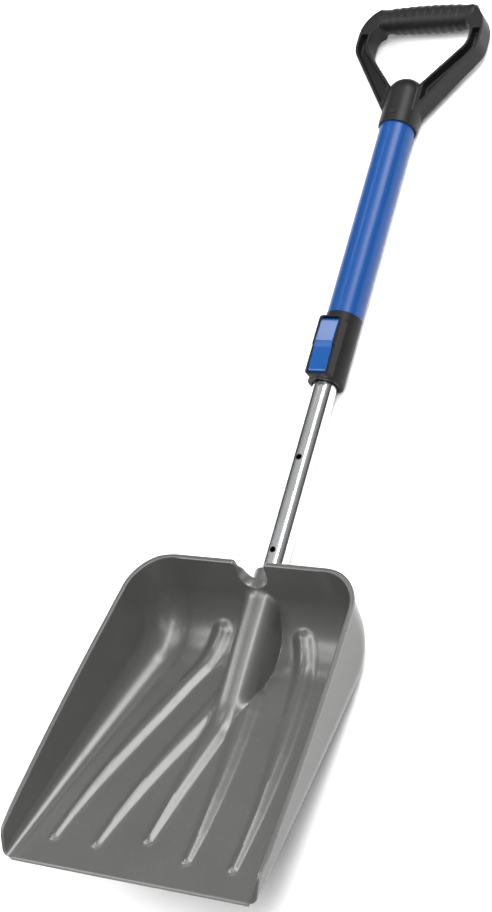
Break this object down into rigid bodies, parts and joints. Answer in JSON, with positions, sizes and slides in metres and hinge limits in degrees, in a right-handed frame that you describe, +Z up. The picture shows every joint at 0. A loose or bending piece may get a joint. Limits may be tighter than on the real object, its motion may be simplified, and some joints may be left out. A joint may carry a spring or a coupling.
{
  "type": "telescoping snow shovel",
  "caption": "Compact scoop snow shovel with raised floor ribs, a telescoping metal handle locked by a rocker button, and a D-shaped hand grip.",
  "frame": {"origin": "under the middle of the shovel's bounding box, on the floor that it lies on, with the handle extended", "axes": "+Y along the handle from the scoop to the grip, +Z up, which is the way the scoop opens, X sideways; the handle is level"},
  "size_m": [0.2828, 1.0213, 0.1358],
  "materials": {
    "scoop_plastic": "semi-gloss graphite grey",
    "bright_aluminium": "polished",
    "blue_painted_tube": "satin",
    "black_plastic": "satin, moulded",
    "blue_plastic": "gloss",
    "white_plastic": "natural acetal",
    "zinc_steel": "zinc plated",
    "spring_steel": "bright drawn"
  },
  "bodies": {
    "scoop_and_lower_tube": {"scoop": "scoop_plastic", "lower_tube": "bright_aluminium", "scoop_screw_upper": "zinc_steel", "scoop_screw_lower": "zinc_steel", "guide_bush": "white_plastic", "bush_pin": "zinc_steel"},
    "handle": {"upper_tube": "blue_painted_tube", "lock_housing": "black_plastic", "lock_bezel": "black_plastic", "guide_liner": "black_plastic", "housing_rivet": "zinc_steel", "rocker_pivot_pin": "zinc_steel", "return_spring": "spring_steel", "d_grip": "black_plastic", "grip_rivet": "black_plastic"},
    "rocker": {"release_rocker": "blue_plastic", "lock_pin": "zinc_steel"}
  },
  "joints": [
    {"name": "handle_slide", "type": "slide", "parent": "scoop_and_lower_tube", "child": "handle", "axis": [0, 1, 0], "range_m": [-0.2032, 0]},
    {"name": "release_press", "type": "hinge", "parent": "handle", "child": "rocker", "pos_m": [0, 0.07415, 0.0417], "axis": [-1, 0, 0], "range_deg": [0, 8], "stiffness_Nm_per_rad": 0.6, "springref_deg": -5.73, "deforming": ["return_spring"]}
  ]
}
